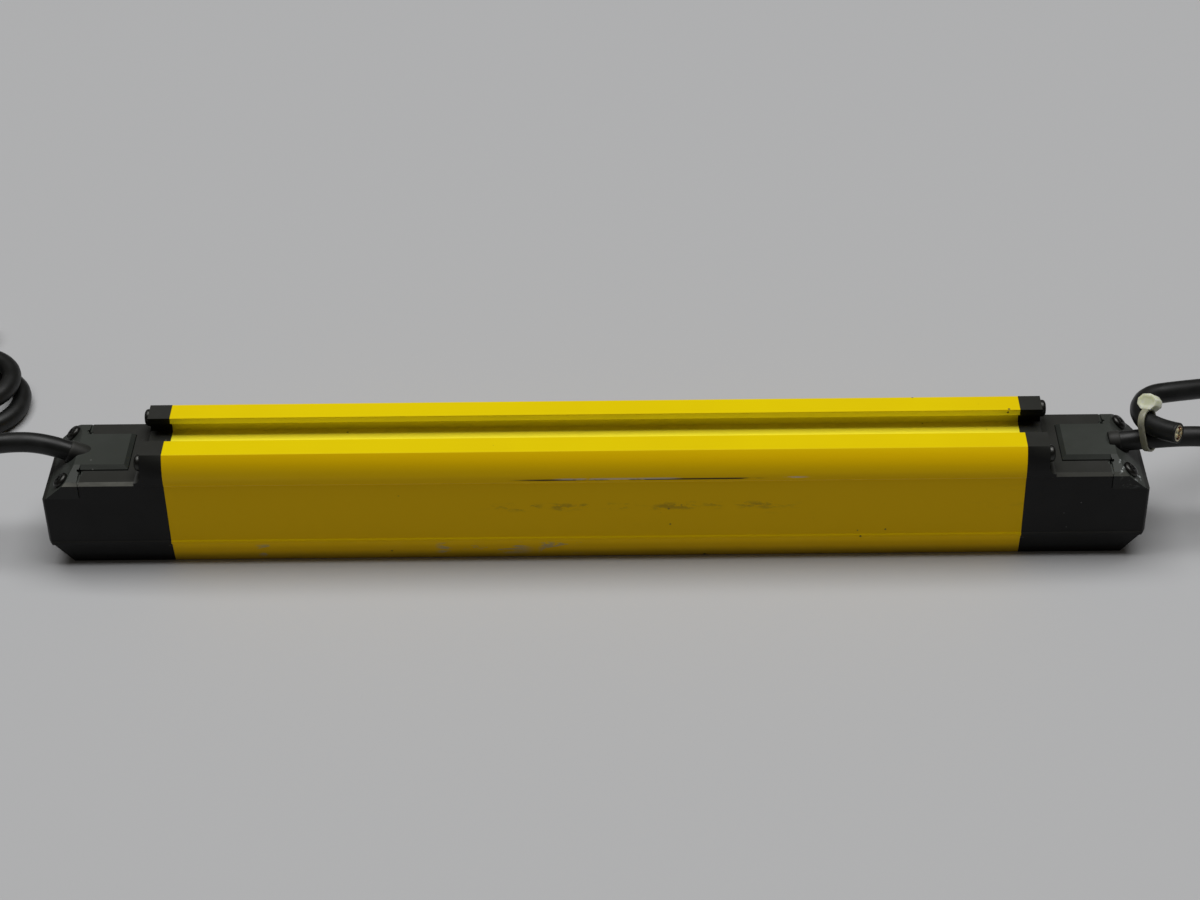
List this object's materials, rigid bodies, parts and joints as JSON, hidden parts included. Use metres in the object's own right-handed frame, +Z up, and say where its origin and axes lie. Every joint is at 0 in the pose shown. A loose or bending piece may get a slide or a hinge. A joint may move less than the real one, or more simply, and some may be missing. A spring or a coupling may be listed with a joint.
{
  "type": "safety light curtain bar",
  "caption": "Safety light curtain bar: yellow aluminium profile with T-slot back, front window over a row of lenses, black sloped end caps and a black cable at each end",
  "frame": {"origin": "middle of the bar's own footprint, on the surface that it lies on", "axes": "X runs along the bar, Y runs across it with the hank and the folded cable on the +Y side, Z points up, out of the slotted back"},
  "size_m": [0.572, 0.1266, 0.0459],
  "materials": {
    "painted_housing": "satin yellow powder coat",
    "cap_plastic": "fine textured black moulding",
    "screw_steel": "blackened steel",
    "cable_rubber": "smooth black cable jacket",
    "window_clear": "clear red-tinted plastic window",
    "lens_clear": "clear moulded optics",
    "board_green": "green solder resist",
    "black_rubber": "soft black rubber",
    "tie_nylon": "translucent natural nylon",
    "contact_metal": "plated contact metal",
    "holder_black": "dull black moulding",
    "chip_black": "dull black component bodies"
  },
  "bodies": {
    "root": {"housing_extrusion": "painted_housing", "front_window": "window_clear", "window_seals": "black_rubber", "lens_strip": "lens_clear", "aperture_holder": "holder_black", "light_pipes": "lens_clear", "emitter_board": "board_green", "beam_diodes": "lens_clear", "board_spacers": "contact_metal", "board_link": "chip_black", "control_board": "board_green", "control_parts": "chip_black", "end_cap_right": "cap_plastic", "end_cap_left": "cap_plastic", "cap_gasket_right": "black_rubber", "cap_gasket_left": "black_rubber", "connector_seal_right": "black_rubber", "connector_seal_left": "black_rubber", "contact_header_right": "contact_metal", "contact_header_left": "contact_metal", "cap_screws_right": "screw_steel", "cap_screws_left": "screw_steel", "connector_screws_right": "screw_steel", "connector_screws_left": "screw_steel", "connector_block_right": "cap_plastic", "connector_block_left": "cap_plastic", "cable_gland_right": "black_rubber", "cable_gland_left": "black_rubber", "cable_left": "cable_rubber", "cable_left_hank": "cable_rubber", "cable_left_hank_tie": "tie_nylon", "cable_left_tail": "cable_rubber", "plug_body": "cap_plastic", "plug_nut": "contact_metal", "plug_pins": "contact_metal", "cable_right": "cable_rubber", "cable_right_tie": "tie_nylon", "cable_right_cores": "contact_metal"}
  },
  "joints": []
}
